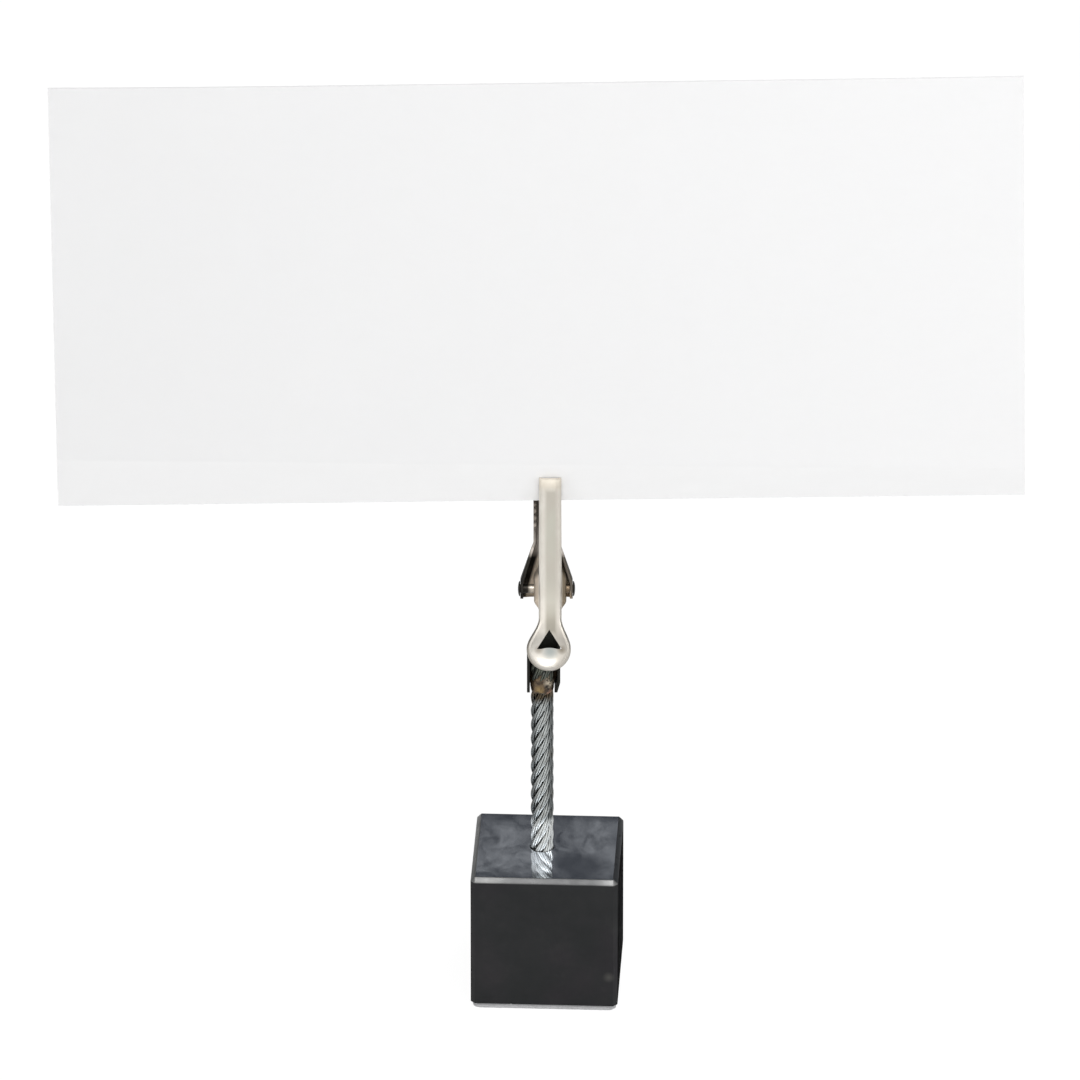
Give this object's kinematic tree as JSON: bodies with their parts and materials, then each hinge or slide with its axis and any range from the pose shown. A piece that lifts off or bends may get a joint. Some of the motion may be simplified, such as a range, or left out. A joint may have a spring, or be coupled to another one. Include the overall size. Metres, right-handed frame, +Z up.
{
  "type": "place card holder",
  "caption": "Block-based place card holder: a twisted steel cable post carries a sprung alligator clip that grips a creased card.",
  "frame": {"origin": "middle of the underside, where the pad meets the table", "axes": "+Z up the post; the card faces -Y; +X to the right seen from the front"},
  "size_m": [0.1336, 0.0204, 0.1366],
  "materials": {
    "block": "black satin on a steel block, hazed and mottled on top, bare bright bevel",
    "pad": "grey felt",
    "cable": "bright drawn steel wire",
    "solder": "dull brown and gold solder",
    "rear_jaw": "steel darkened by the soldering, almost black at its edges",
    "front_jaw": "warm nickel-plated steel",
    "rivet": "nickel-plated steel",
    "spring": "drawn spring wire",
    "card": "smooth off-white card stock"
  },
  "bodies": {
    "stand": {"base_block": "block", "foot_pad": "pad", "cable_core": "cable", "cable_strand_1": "cable", "cable_strand_2": "cable", "cable_strand_3": "cable", "cable_strand_4": "cable", "cable_strand_5": "cable", "cable_strand_6": "cable", "solder_joint": "solder", "rear_jaw": "rear_jaw", "pivot_rivet": "rivet", "torsion_spring": "spring"},
    "lever": {"front_jaw": "front_jaw"},
    "card": {"place_card": "card"}
  },
  "joints": [
    {"name": "clip_hinge", "type": "hinge", "parent": "stand", "child": "lever", "pos_m": [0.0004, -0.0019, 0.062], "axis": [1, 0, 0], "range_deg": [0, 29], "stiffness_Nm_per_rad": 0.04, "springref_deg": -34.38, "deforming": ["torsion_spring"]},
    {"name": "card_lift", "type": "slide", "parent": "stand", "child": "card", "axis": [0, 0, 1], "range_m": [0, 0.008]}
  ]
}
